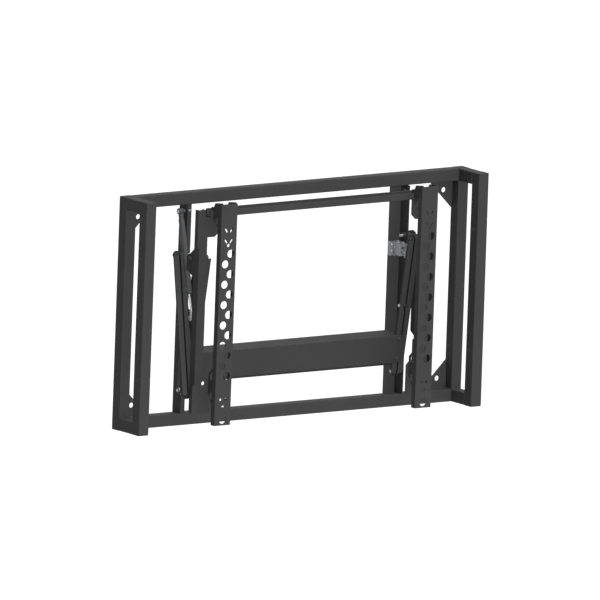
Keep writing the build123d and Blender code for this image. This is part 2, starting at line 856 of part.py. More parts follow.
# The same holes carry the strut's ball stud on the left and a plain bolt on the right
with BuildPart() as upright_top_studs:
    stud_nut = (flange_inner - nut_thickness, flange_inner)
    ball_stud(strut_top_depth, strut_top_z, stud_nut[0], flange_outer)
    x_hex(-1, *stud_nut, strut_top_depth, strut_top_z)
    bolt(
        1, *stud_nut, flange_outer, flange_outer + head_thickness, strut_top_depth, strut_top_z
    )
save(upright_top_studs, "upright_top_studs")

with BuildPart() as strut_low_stud:
    ball_stud(
        strut_low_depth, strut_low_z, outer_arm_inner, outer_arm_inner + arm_sheet
    )
save(strut_low_stud, "strut_low_stud")

with BuildPart() as strut_top_socket:
    ball_socket(top_ball, strut_top_depth, strut_top_z)
save(strut_top_socket, "strut_top_socket")

with BuildPart() as strut_low_socket:
    ball_socket(low_ball, strut_low_depth, strut_low_z)
save(strut_low_socket, "strut_low_socket")

with BuildPart() as strut_tube:
    with BuildSketch(top_ball.offset(strut_neck)):
        Circle(strut_tube_diameter / 2)
    extrude(amount=strut_tube_length)
    with BuildSketch(top_ball.offset(strut_neck + guide_length)):
        Circle(strut_tube_diameter / 2 - strut_tube_wall)
    extrude(amount=strut_tube_length - 2 * guide_length, mode=Mode.SUBTRACT)
    with BuildSketch(top_ball.offset(strut_neck + guide_length)):
        Circle(strut_rod_diameter / 2 + guide_clearance)
    extrude(amount=strut_tube_length, mode=Mode.SUBTRACT)
save(strut_tube, "strut_tube")

with BuildPart() as strut_rod:
    with BuildSketch(low_ball.offset(strut_neck)):
        Circle(strut_rod_diameter / 2)
    extrude(amount=strut_rod_length)
    with BuildSketch(low_ball.offset(strut_neck + strut_rod_length - guide_length)):
        Circle(strut_tube_diameter / 2 - strut_tube_wall - guide_clearance)
    extrude(amount=guide_length)
save(strut_rod, "strut_rod")

# Push latch: a cast case on the fixed upright, a pawl, and a striker on the inner arm
latch_z = top - latch_drop
latch_x = flange_inner - 2 - latch_width / 2
snout_x = latch_x + latch_width / 2 - 3 - snout_width / 2
case_front = sheet + latch_base
mouth_width = snout_width - 2 * latch_wall
with BuildPart() as latch_case:
    with BuildSketch(Plane.XZ.offset(sheet)):
        with Locations((latch_x, latch_z)):
            Rectangle(latch_width, latch_height)
    extrude(amount=latch_base)
    with BuildSketch(Plane.XZ.offset(case_front)):
        with Locations((snout_x, latch_z + 1)):
            Rectangle(snout_width, latch_height - 6)
    extrude(amount=snout_length)
    with BuildSketch(Plane.XZ.offset(case_front - 5)):
        with Locations((snout_x, latch_z)):
            Rectangle(mouth_width, latch_height - 14)
    extrude(amount=snout_length + 5, mode=Mode.SUBTRACT)
    with Locations((snout_x, 2.5 - case_front - snout_length / 2, latch_z + latch_height / 2)):
        Box(pawl_thickness + 3, snout_length + 5, latch_height / 2, mode=Mode.SUBTRACT)
    x_pin(
        1, snout_x - snout_width / 2, snout_x + snout_width / 2, pawl_pivot_depth,
        latch_z + 5.5, pawl_pin_diameter, mode=Mode.SUBTRACT,
    )
save(latch_case, "latch_case")

with BuildPart() as pawl_pin:
    x_pin(
        1, snout_x - snout_width / 2, snout_x + snout_width / 2, pawl_pivot_depth,
        latch_z + 5.5, pawl_pin_diameter,
    )
save(pawl_pin, "pawl_pin")

raised = radians(pawl_angle)
with BuildPart() as latch_pawl:
    pawl_plane = Plane(
        origin=(snout_x + pawl_thickness / 2, -pawl_pivot_depth, latch_z + 5.5),
        x_dir=(0, -cos(raised), sin(raised)),
        z_dir=(-1, 0, 0),
    )
    with BuildSketch(pawl_plane):
        with BuildLine():
            hook_line = Polyline(
                (0, -4),
                (18, -4),
                (20.8, -3.6),
                (21, -10),
                (25, -10),
                (27, 2),
                (20, 5),
                (8, 5),
                (7, 14),
                (2, 14),
                (0, 4),
            )
            ThreePointArc(hook_line @ 1, (-4, 0), hook_line @ 0)
        make_face()
        RegularPolygon(
            pawl_pin_diameter / 2 + running_clearance, round_sides,
            major_radius=False, mode=Mode.SUBTRACT,
        )
    extrude(amount=pawl_thickness)
save(latch_pawl, "latch_pawl")

# Striker: a wire staple on a small plate, behind the right inner arm
striker_tip = Vector(0, middle_depth - striker_depth, latch_z - 1 - middle_z)
striker_along = striker_tip.dot(Vector(0, lean, -stand))
striker_back = striker_tip.dot(Vector(0, stand, lean))
staple_width = striker_legs + striker_wire
arm_back = Plane(
    origin=(
        snout_x,
        -middle_depth + lean * striker_along + stand * arm_depth / 2,
        middle_z - stand * striker_along + lean * arm_depth / 2,
    ),
    x_dir=(1, 0, 0),
    z_dir=(0, stand, lean),
)
with BuildPart() as latch_striker:
    with BuildSketch(arm_back):
        Rectangle(staple_width + 2, striker_plate_length)
    extrude(amount=arm_sheet)
    with BuildSketch(arm_back):
        with Locations((-striker_legs / 2, 0), (striker_legs / 2, 0)):
            RegularPolygon(striker_wire / 2, round_sides)
    extrude(amount=striker_back - arm_depth / 2)
    x_pin(
        1, snout_x - staple_width / 2, snout_x + staple_width / 2,
        striker_depth, latch_z - 1, striker_wire,
    )
save(latch_striker, "latch_striker")

screw_x = latch_x - latch_width / 2 + 4
with BuildPart() as latch_screws:
    with BuildSketch(Plane.XZ.offset(case_front)):
        with Locations((screw_x, latch_z + 10), (screw_x, latch_z - 6)):
            RegularPolygon(3.2, 8)
    extrude(amount=2)
save(latch_screws, "latch_screws")

turn_at_open = rest_angle + radians(open_angle)
print("travel", round(arm_length * sin(turn_at_open) - (front_pin_depth - rear_pin_depth), 2))
print("slot run", round(slot_run, 2), "arm", round(arm_length, 2), "rest", round(degrees(rest_angle), 3))
print("strut", round(strut_length, 2), round(degrees(atan2(strut_low_depth - strut_top_depth,
                                                          strut_top_z - strut_low_z)), 3))
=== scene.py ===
"""Looks of a scissor-action wall mount for one display of a video wall.

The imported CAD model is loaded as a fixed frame. Steel pieces are copies of its nodes with rounded
edges, and bolts, rollers, the gas strut and the latch's fittings are turned anew at their places.
Sizes are in millimetres up to the helper that places a piece, and the scene is in metres.
"""

import json
import math

import bpy
from mathutils import Matrix, Vector


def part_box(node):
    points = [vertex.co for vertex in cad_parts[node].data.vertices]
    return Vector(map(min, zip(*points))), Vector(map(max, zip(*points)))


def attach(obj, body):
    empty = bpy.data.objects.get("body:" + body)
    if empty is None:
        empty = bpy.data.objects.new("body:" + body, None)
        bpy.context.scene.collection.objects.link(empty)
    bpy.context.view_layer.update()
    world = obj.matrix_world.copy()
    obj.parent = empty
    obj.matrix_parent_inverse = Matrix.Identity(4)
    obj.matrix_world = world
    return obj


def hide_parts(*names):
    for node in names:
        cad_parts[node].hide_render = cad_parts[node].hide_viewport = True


bl_info = {
    "name": "Video wall mount",
    "version": (1, 0, 0),
    "blender": (4, 5, 0),
    "location": "View3D > Sidebar > Wall mount",
    "description": "Dresses the wall mount's CAD nodes and sets its stage",
    "category": "Object",
}

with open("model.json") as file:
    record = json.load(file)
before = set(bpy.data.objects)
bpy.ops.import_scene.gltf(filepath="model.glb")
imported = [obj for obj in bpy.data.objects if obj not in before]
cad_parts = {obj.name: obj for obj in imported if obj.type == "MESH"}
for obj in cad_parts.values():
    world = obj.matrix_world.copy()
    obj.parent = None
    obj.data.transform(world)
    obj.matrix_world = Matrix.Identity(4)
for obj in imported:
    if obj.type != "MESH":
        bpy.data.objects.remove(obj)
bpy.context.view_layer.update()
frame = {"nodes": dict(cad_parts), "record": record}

MM = 0.001
SIDES = (("left", -1), ("right", 1))

# Frame: half sizes, depth and square tube, and the two faces of a fixed upright's flange
HALF_WIDTH, HALF_HEIGHT, FRAME_DEPTH, TUBE = 512.0, 288.0, 114.0, 30.0
INNER_X, INNER_Z = HALF_WIDTH - TUBE, HALF_HEIGHT - TUBE
FLANGE_INNER, FLANGE_OUTER = 330.0, 333.0

# Scissor: both faces of the arms across the mount, the pins' depths from the wall and heights
OUTER_NEAR, OUTER_FAR = 345.75, 355.25
INNER_NEAR, INNER_FAR = 307.75, 317.25
REAR_PIN, FRONT_PIN, MIDDLE_PIN = 24.0, 80.0, 52.0
TOP_PIN_Z, LOW_PIN_Z, MIDDLE_Z = 134.0, -202.0, -34.0
LEAN = math.atan2(FRONT_PIN - REAR_PIN, TOP_PIN_Z - LOW_PIN_Z)

# Fasteners: shank radius, width across flats, heights of nut and head, spacer radius, play
BOLT, ACROSS_FLATS, NUT, HEAD, SPACER, GAP = 4.0, 13.0, 6.5, 5.0, 7.5, 0.3

# Display rails' middle and front, and the height of their plumb screws
RAIL_X, RAIL_FRONT, SCREW_Z = 300.0, 166.0, -172.0

# Gas strut: its line across the mount, and the depth and height of its two ball studs
STRUT_X, TOP_STUD, LOW_STUD = 342.5, (20.0, 241.0), (84.0, -12.0)
STRUT_TOP, STRUT_LOW = (Vector((-STRUT_X, -depth, z)) for depth, z in (TOP_STUD, LOW_STUD))

# Latch: the middle of its case
LATCH_X, LATCH_Z = 311.5, 100.5

# Meshes: merging distances in metres, the angle up to which faces count as flat, and the share
# of an edge's direction above which it runs along an axis
CAD_MERGE, CUT_MERGE = 0.00001, 0.00002
FLAT_ANGLE = math.radians(0.5)
ALONG = 0.99

# Profiles of turned pieces, each station a length and a radius
SLIDE_ROLLER = (
    (330.7, 4.2), (329.7, 4.4), (329.7, 5.6), (330.1, 6.0), (332.9, 6.0), (333.3, 5.6),
    (333.3, 4.4), (332.3, 4.2),
)
SLIDE_CLIP = ((333.3, 5.8), (333.5, 6.0), (334.1, 6.0), (334.3, 5.8))
SLIDE_PIN = ((INNER_NEAR - 6, 3.4), (INNER_NEAR - 5.5, BOLT), (335.8, BOLT), (336.3, 3.4))
PLUMB_HEAD = ((0, 6.2), (0.6, 7.0), (2.6, 7.0), (3.4, 6.2), (4.0, 4.6))
PAWL_RIVET = ((302.6, 1.6), (302.9, 2.3), (303.4, 2.5), (324.6, 2.5), (325.1, 2.3), (325.4, 1.6))
TOP_COLLAR = (
    (324.5, BOLT), (FLANGE_OUTER, BOLT), (FLANGE_OUTER, 6.2), (333.4, 6.5), (335.2, 6.5),
    (335.6, 6.2),
)
LOW_COLLAR = ((334.0, BOLT), (336.5, BOLT), (336.5, 5.6), (337.8, 5.6))
SOCKET_CAP = ((348.8, 4.6), (349.2, 4.6), (349.4, 4.3))
SOCKET_BARREL = (
    (347.55, 4.2), (346.2, 5.05), (338.5, 5.3), (338.5, 7.2), (339.1, 7.9), (340.0, 8.0),
    (347.8, 8.0), (348.6, 7.6), (349.05, 6.6),
)
STRUT_TUBE = (
    (18.0, 4.2), (18.0, 5.8), (18.6, 6.8), (20.0, 7.4), (22.0, 7.5), (189.0, 7.5), (189.8, 7.0),
    (191.0, 6.8), (192.2, 7.0), (193.0, 7.5), (199.5, 7.5), (201.5, 7.2), (202.6, 6.4),
    (203.0, 5.2), (203.0, 3.7), (193.0, 3.7), (193.0, 6.0), (28.0, 6.0),
)
STRUT_ROD = ((18.0, 3.0), (193.0, 3.0), (193.0, 5.2), (193.5, 5.5), (202.5, 5.5), (203.0, 5.2))

# Lamps: name, direction towards the sun, strength, spread in degrees, and whether it casts shadow
LAMPS = (
    ("key", (-0.04, -0.70, 0.71), 0.3, 25.0, True),
    ("wash", (0.0, -0.72, 0.69), 2.45, 25.0, False),
    ("fill", (0.75, -0.60, 0.25), 0.25, 60.0, False),
    ("back", (0.45, 0.88, -0.15), 1.7, 15.0, False),
)

# Camera: directions fitted to the photograph, picture width, and place along right, up and back
VIEW_RIGHT, VIEW_BACK = Vector((0.8134, -0.5805, 0.0355)), Vector((-0.5771, -0.7982, 0.1726))
VIEW_WIDTH, VIEW_PLACE = 1.4604, (0.0323, -0.0066, 3.0)


# Settings


def length(name, description, default, least=0.0):
    return bpy.props.FloatProperty(
        name=name, description=description, default=default, min=least, unit="LENGTH"
    )


def sides_round(name, description, default):
    return bpy.props.IntProperty(name=name, description=description, default=default, min=12)


def colour(name, description, *default):
    return bpy.props.FloatVectorProperty(
        name=name, description=description, subtype="COLOR", size=3, default=default
    )


class MountSizes(bpy.types.PropertyGroup):
    """Radii and small sizes of the finish."""

    tube_corner: length("Tube corner", "Outer corner radius of the square tube", 0.0022)
    sheet_edge: length("Sheet edge", "Rounding of cut and folded sheet edges", 0.0005)
    weld_radius: length("Weld radius", "Half the width of a weld bead", 0.0020)
    thread_pitch: length("Thread pitch", "Distance from one thread to the next", 0.00125, 0.0002)
    round_sides: sides_round("Round sides", "Faces round a turned piece", 40)
    hole_sides: sides_round("Hole sides", "Faces round a punched hole", 56)


class MountColours(bpy.types.PropertyGroup):
    """Colours of the finishes."""

    frame_black: colour(
        "Frame black", "Powder coat of the frame, carriage and rails", 0.050, 0.050, 0.0515
    )
    arm_black: colour("Arm black", "Powder coat of the scissor arms", 0.056, 0.056, 0.0575)
    rubbed: colour("Rubbed coat", "Powder coat where it is rubbed", 0.076, 0.076, 0.080)
    zinc: colour("Zinc", "Bright zinc of bolts, nuts and studs", 0.52, 0.53, 0.55)
    casting: colour("Casting", "Die cast latch", 0.35, 0.36, 0.38)
    enamel: colour("Enamel", "Enamel of the gas strut's tube", 0.052, 0.054, 0.057)
    chrome: colour("Chrome", "Gas strut's rod", 0.80, 0.81, 0.83)
    nylon: colour("Nylon", "Rollers", 0.78, 0.78, 0.75)
    plastic: colour("Plastic", "Plugs in the posts' ends", 0.046, 0.046, 0.048)
    floor: colour("Floor", "Floor under the mount", 0.72, 0.72, 0.72)


# Finishes


def new_group(name, inputs):
    """Shader node group that turns a place into a colour, a roughness and a height."""
    group = bpy.data.node_groups.new(name, "ShaderNodeTree")
    for label, kind, default in (("Vector", "Vector", None), *inputs):
        socket = group.interface.new_socket(
            name=label, in_out="INPUT", socket_type="NodeSocket" + kind
        )
        if default is not None:
            socket.default_value = default
    for label, kind in (("Colour", "Color"), ("Roughness", "Float"), ("Height", "Float")):
        group.interface.new_socket(name=label, in_out="OUTPUT", socket_type="NodeSocket" + kind)
    start = group.nodes.new("NodeGroupInput")
    end = group.nodes.new("NodeGroupOutput")
    return group, start.outputs, end.inputs


def noise(tree, vector, scale, detail, roughness):
    node = tree.nodes.new("ShaderNodeTexNoise")
    node.inputs["Detail"].default_value = detail
    node.inputs["Roughness"].default_value = roughness
    if isinstance(scale, float):
        node.inputs["Scale"].default_value = scale
    else:
        tree.links.new(scale, node.inputs["Scale"])
    tree.links.new(vector, node.inputs["Vector"])
    return node.outputs["Fac"]


def map_range(tree, value, low, high, to_low, to_high):
    node = tree.nodes.new("ShaderNodeMapRange")
    for label, number in (
        ("From Min", low), ("From Max", high), ("To Min", to_low), ("To Max", to_high)
    ):
        node.inputs[label].default_value = number
    tree.links.new(value, node.inputs["Value"])
    return node.outputs["Result"]


def mix_colour(tree, factor, first, second):
    node = tree.nodes.new("ShaderNodeMix")
    node.data_type = "RGBA"
    for label, value in (("Factor", factor), ("A", first), ("B", second)):
        tree.links.new(value, node.inputs[label])
    return node.outputs["Result"]


def math_node(tree, operation, first, second):
    node = tree.nodes.new("ShaderNodeMath")
    node.operation = operation
    for socket, value in zip(node.inputs, (first, second)):
        if isinstance(value, float):
            socket.default_value = value
        else:
            tree.links.new(value, socket)
    return node.outputs["Value"]


def powder_grain_group():
    """Orange-peel and fine grain of a powder coat, with clouds and rubbed marks."""
    group, given, out = new_group("powder_grain", (
        ("Coat", "Color", (0.04, 0.04, 0.04, 1)),
        ("Rubbed", "Color", (0.09, 0.09, 0.09, 1)),
        ("Grain Scale", "Float", 900.0),
        ("Rub", "Float", 0.5),
    ))
    vector = given["Vector"]
    fine = noise(group, vector, given["Grain Scale"], 2.0, 0.6)
    peel = noise(group, vector, 260.0, 1.0, 0.5)
    patch = noise(group, vector, 14.0, 4.0, 0.6)
    scuff = noise(group, vector, 75.0, 6.0, 0.75)
    marks = map_range(group, scuff, 0.62, 0.74, 0.0, 1.0)
    near = map_range(group, patch, 0.50, 0.66, 0.0, 1.0)
    rubbed = math_node(group, "MULTIPLY", math_node(group, "MULTIPLY", marks, near), given["Rub"])
    cloud = map_range(group, patch, 0.3, 0.7, 0.0, 0.16)
    speck = map_range(group, fine, 0.35, 0.75, 0.0, 0.12)
    lift = math_node(group, "ADD", math_node(group, "ADD", cloud, speck), rubbed)
    height = math_node(group, "ADD", fine, math_node(group, "MULTIPLY", peel, 0.8))
    colour_out = mix_colour(group, lift, given["Coat"], given["Rubbed"])
    group.links.new(colour_out, out["Colour"])
    group.links.new(map_range(group, patch, 0.25, 0.75, 0.72, 0.60), out["Roughness"])
    group.links.new(height, out["Height"])
    return group


def worked_metal_group():
    """Fine lines, cloudy plating and small dark pits of worked or plated metal."""
    group, given, out = new_group("worked_metal", (
        ("Metal", "Color", (0.7, 0.7, 0.7, 1)),
        ("Dull", "Color", (0.45, 0.45, 0.45, 1)),
        ("Line Scale", "Float", 500.0),
        ("Dullness", "Float", 0.3),
    ))
    stretch = group.nodes.new("ShaderNodeMapping")
    stretch.inputs["Scale"].default_value = (0.12, 1.0, 1.0)
    group.links.new(given["Vector"], stretch.inputs["Vector"])
    lines = noise(group, stretch.outputs["Vector"], given["Line Scale"], 3.0, 0.6)
    cloud = noise(group, given["Vector"], 90.0, 4.0, 0.65)
    pits = noise(group, given["Vector"], 700.0, 2.0, 0.5)
    pitted = map_range(group, pits, 0.66, 0.74, 0.0, 0.5)
    clouded = map_range(group, cloud, 0.35, 0.7, 0.0, 1.0)
    dull = math_node(group, "MULTIPLY", clouded, given["Dullness"])
    dull = math_node(group, "ADD", dull, pitted)
    height = math_node(group, "ADD", lines, math_node(group, "MULTIPLY", pitted, -1.0))
    group.links.new(mix_colour(group, dull, given["Metal"], given["Dull"]), out["Colour"])
    group.links.new(map_range(group, cloud, 0.3, 0.7, 0.24, 0.38), out["Roughness"])
    group.links.new(height, out["Height"])
    return group


def make_finish(slot, group, colours, values, depth, socket, constant):
    """Material of a slot: its group's surface, a bump of a depth, and one shader constant."""
    material = bpy.data.materials.new(slot + "_finish")
    material.use_nodes = True
    tree = material.node_tree
    shader = tree.nodes["Principled BSDF"]
    place = tree.nodes.new("ShaderNodeTexCoord")
    surface = tree.nodes.new("ShaderNodeGroup")
    surface.node_tree = group
    for label, value in colours.items():
        surface.inputs[label].default_value = (*value, 1)
    for label, value in values.items():
        surface.inputs[label].default_value = value
    bump = tree.nodes.new("ShaderNodeBump")
    bump.inputs["Distance"].default_value = depth * MM
    bump.inputs["Strength"].default_value = 0.6
    shader.inputs[socket].default_value = constant
    for start, end in (
        (place.outputs["Object"], surface.inputs["Vector"]),
        (surface.outputs["Colour"], shader.inputs["Base Color"]),
        (surface.outputs["Roughness"], shader.inputs["Roughness"]),
        (surface.outputs["Height"], bump.inputs["Height"]),
        (bump.outputs["Normal"], shader.inputs["Normal"]),
    ):
        tree.links.new(start, end)


def finish_of(slot):
    """Material of a slot, made by the finishes operator."""
    return bpy.data.materials[slot + "_finish"]


# Modelling helpers


def only(piece=None):
    """Leave one object selected and active, in object mode."""
    if bpy.context.object and bpy.context.object.mode != "OBJECT":
        bpy.ops.object.mode_set(mode="OBJECT")
    bpy.ops.object.select_all(action="DESELECT")
    if piece is not None:
        piece.select_set(True)
        bpy.context.view_layer.objects.active = piece


def merged(piece, distance):
    """Merge a piece's doubles and dissolve the edges between its flat faces."""
    only(piece)
    bpy.ops.object.mode_set(mode="EDIT")
    bpy.ops.mesh.select_all(action="SELECT")
    bpy.ops.mesh.remove_doubles(threshold=distance)
    bpy.ops.mesh.dissolve_limited(angle_limit=FLAT_ANGLE)
    bpy.ops.object.mode_set(mode="OBJECT")
    return piece


def cad_copy(node):
    """Copy of a node's mesh with its loose triangles merged into whole faces."""
    piece = bpy.data.objects.new(node + "_copy", frame["nodes"][node].data.copy())
    bpy.context.scene.collection.objects.link(piece)
    only(piece)
    bpy.ops.mesh.customdata_custom_splitnormals_clear()
    return merged(piece, CAD_MERGE)


def deselected(piece, kind):
    """Leave a mesh deselected all over, for its edges or faces to be selected in code."""
    only(piece)
    bpy.ops.object.mode_set(mode="EDIT")
    bpy.ops.mesh.select_mode(type=kind)
    bpy.ops.mesh.select_all(action="DESELECT")
    bpy.ops.object.mode_set(mode="OBJECT")


def bevel_edges(piece, chosen, width, segments):
    """Bevel the edges for which chosen(middle, direction, length) is true, all in metres."""
    deselected(piece, "EDGE")
    corners = piece.data.vertices
    for edge in piece.data.edges:
        a, b = (corners[i].co for i in edge.vertices)
        edge.select = chosen((a + b) / 2, (b - a).normalized(), (b - a).length)
    bpy.ops.object.mode_set(mode="EDIT")
    bpy.ops.mesh.bevel(offset=width, segments=segments, profile=0.5, affect="EDGES")
    bpy.ops.object.mode_set(mode="OBJECT")


def front_folds(front):
    """Choice of a channel's long upright edges that lie in front of a depth."""
    return lambda point, way, size: (
        abs(way.z) > ALONG and size > 0.4 and point.y < -front * MM
    )


def soften(piece, width, segments=2, angle=30.0):
    """Round every sharp edge by a bevel modifier, then apply it."""
    only(piece)
    bevel = piece.modifiers.new("edges", "BEVEL")
    bevel.width = width
    bevel.segments = segments
    bevel.limit_method = "ANGLE"
    bevel.angle_limit = math.radians(angle)
    bpy.ops.object.modifier_apply(modifier=bevel.name)


def joined(pieces):
    """Join pieces into one object."""
    only(pieces[0])
    for piece in pieces:
        piece.select_set(True)
    bpy.ops.object.join()
    whole = bpy.context.object
    only(whole)
    bpy.ops.object.transform_apply(location=True, rotation=True, scale=True)
    return whole


def combine(piece, other, operation):
    """Cut another piece out of a piece or unite it with it, and remove the other."""
    only(piece)
    boolean = piece.modifiers.new("boolean", "BOOLEAN")
    boolean.operation = operation
    boolean.solver = "EXACT"
    boolean.object = other
    bpy.ops.object.modifier_apply(modifier=boolean.name)
    bpy.data.objects.remove(other)


def drill(piece, places, axis, radius, depth, sides=None):
    """Punch round holes centred on places, along X, Y or Z."""
    turn = {"X": (0, math.pi / 2, 0), "Y": (math.pi / 2, 0, 0), "Z": (0, 0, 0)}[axis]
    cutters = []
    for place in places:
        only()
        bpy.ops.mesh.primitive_cylinder_add(
            vertices=sides or bpy.context.scene.mount_sizes.hole_sides,
            radius=radius * MM, depth=depth * MM, location=Vector(place) * MM, rotation=turn,
        )
        cutters.append(bpy.context.object)
    combine(piece, joined(cutters), "DIFFERENCE")
    merged(piece, CUT_MERGE)


def united(piece, *others):
    """One skin of a piece and the parts that overlap it."""
    for other in others:
        combine(piece, other, "UNION")
    return merged(piece, CUT_MERGE)


def slab(middle, size):
    """Box with its size drawn out in place."""
    only()
    bpy.ops.mesh.primitive_cube_add(size=1, location=Vector(middle) * MM)
    piece = bpy.context.object
    piece.scale = Vector(size) * MM
    bpy.ops.object.transform_apply(location=True, rotation=True, scale=True)
    return piece


def turned(stations, place, sides=None):
    """Piece of revolution: a disc drawn out from station to station, each a length and radius."""
    only()
    reach, radius = stations[0]
    bpy.ops.mesh.primitive_circle_add(
        vertices=sides or bpy.context.scene.mount_sizes.round_sides,
        radius=radius * MM, fill_type="NGON", location=(0, 0, reach * MM),
    )
    piece = bpy.context.object
    bpy.ops.object.mode_set(mode="EDIT")
    bpy.ops.mesh.select_mode(type="FACE")
    bpy.ops.mesh.select_all(action="SELECT")
    for next_reach, next_radius in stations[1:]:
        bpy.ops.mesh.extrude_region_move(
            TRANSFORM_OT_translate={"value": (0, 0, (next_reach - reach) * MM)}
        )
        if next_radius != radius:
            factor = next_radius / radius
            bpy.ops.transform.resize(
                value=(factor, factor, 1), center_override=(0, 0, next_reach * MM)
            )
        reach, radius = next_reach, next_radius
    bpy.ops.mesh.select_all(action="SELECT")
    bpy.ops.mesh.normals_make_consistent(inside=False)
    bpy.ops.object.mode_set(mode="OBJECT")
    piece.matrix_world = place @ piece.matrix_world
    only(piece)
    bpy.ops.object.transform_apply(location=True, rotation=True, scale=True)
    return piece


def moved(x, y, z):
    """Place moved from the origin, in millimetres."""
    return Matrix.Translation(Vector((x, y, z)) * MM)


def facing_front(lean=0.0):
    """Turn that brings a piece's own Z to the front, leant back by an angle."""
    return Matrix.Rotation(math.pi / 2 + lean, 4, "X")


def along_x(side, depth, z):
    """Place whose lengths run outwards from the middle, through a depth and a height."""
    return moved(0, -depth, z) @ Matrix.Rotation(side * math.pi / 2, 4, "Y")


def between(start, end):
    """Place whose lengths run from one point towards another."""
    way = Vector(end) - Vector(start)
    return moved(*start) @ way.to_track_quat("Z", "Y").to_matrix().to_4x4()


def copied(master, places):
    """One piece of copies of a master at places. The master is removed."""
    copies = []
    for place in places:
        piece = bpy.data.objects.new(master.name, master.data.copy())
        bpy.context.scene.collection.objects.link(piece)
        piece.data.transform(place)
        copies.append(piece)
    bpy.data.objects.remove(master)
    return joined(copies)


def finished(piece, name, slot, body, *nodes):
    """Smooth a piece, give it its finish and body, and let it stand for its nodes."""
    piece.name = name
    only(piece)
    bpy.ops.object.shade_smooth_by_angle(angle=math.radians(35.0))
    weighted = piece.modifiers.new("normals", "WEIGHTED_NORMAL")
    weighted.keep_sharp = True
    bpy.ops.object.modifier_apply(modifier=weighted.name)
    piece.data.materials.clear()
    piece.data.materials.append(finish_of(slot))
    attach(piece, body)
    if nodes:
        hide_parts(*nodes)


def body_of(node):
    """Body that a CAD node rides on."""
    for body, members in frame["record"]["behaviour"]["bodies"].items():
        if node in members:
            return body
    raise RuntimeError(f"no body holds {node}")


def sheet_piece(node, slot="frame_black", width=None, holes=()):
    """Rounded copy of a sheet steel node, with its round holes punched cleanly."""
    piece = cad_copy(node)
    for places, axis, radius, depth in holes:
        drill(piece, places, axis, radius, depth)
    soften(piece, width or bpy.context.scene.mount_sizes.sheet_edge)
    finished(piece, node + "_steel", slot, body_of(node), node)


# Fasteners


def hexagon(end, face, place):
    """Chamfered hexagon from its end to its bearing face, with the washer's round on the face."""
    radius = ACROSS_FLATS / math.sqrt(3)
    step = 1 if face > end else -1
    body = turned(
        (
            (end, 0.86 * radius), (end + 0.7 * step, radius), (face - 1.6 * step, radius),
            (face - 1.2 * step, 0.97 * radius),
        ),
        place, sides=6,
    )
    washer = turned(((face - 1.2 * step, 7.4), (face - 0.9 * step, 7.9), (face, 7.9)), place)
    return [body, washer]


def thread(start, end, place):
    """Threaded end of a bolt, its crests and roots as rings."""
    pitch = bpy.context.scene.mount_sizes.thread_pitch / MM
    step = 1 if end > start else -1
    stations = [(start, BOLT)]
    turn = pitch / 2
    while turn < abs(end - start) - 0.6:
        stations.append((start + step * turn, 0.9 * BOLT))
        stations.append((start + step * (turn + pitch / 2), BOLT))
        turn += pitch
    stations += [(end - 0.5 * step, 0.92 * BOLT), (end, 0.75 * BOLT)]
    return turned(stations, place, sides=28)


def collar(near, far, place):
    """Spacer with broken edges and a shallow groove at its middle."""
    middle, low = (near + far) / 2, SPACER - 0.5
    return turned(
        (
            (near, low), (near + 0.5, SPACER), (middle - 0.8, SPACER), (middle - 0.4, low),
            (middle + 0.4, low), (middle + 0.8, SPACER), (far - 0.5, SPACER), (far, low),
        ),
        place,
    )


def bolt_set(side, nut, head, depth, z, spacer=None, proud=2.5):
    """Shank, nut, and head with the spacer, as three lists.

    The nut and the head bear at these lengths, and the thread ends proud of the nut.
    """
    place = along_x(side, depth, z)
    end = nut - NUT
    shank = [
        thread(end + 1.0, end - proud, place),
        turned(((end + 1.0, BOLT), (head, BOLT)), place),
    ]
    nuts = hexagon(end, nut, place)
    heads = hexagon(head + HEAD, head, place)
    if spacer:
        heads.append(collar(*spacer, place))
    return shank, nuts, heads


def two_finishes(bright, dark, name, body, node):
    """Zinc-plated parts and blackened parts of one node, as two pieces."""
    finished(joined(bright), name + "_bright", "bright_zinc", body, node)
    finished(joined(dark), name + "_black", "arm_black", body)


def button_head(radius=5.4, height=3.0):
    """Button head with a hexagonal recess, standing on its origin along its own Z."""
    dome = ((0.25, 1), (0.55, 0.88), (0.82, 0.68), (0.96, 0.46), (1, 0.3))
    stations = [(0, radius)] + [(up * height, across * radius) for up, across in dome]
    head = turned(stations, Matrix.Identity(4))
    drill(head, [(0, 0, height)], "Z", 0.33 * radius, height, sides=6)
    return head


# Operators


class MountOperator(bpy.types.Operator):
    """Base of the mount's operators."""

    bl_options = {"REGISTER", "UNDO"}


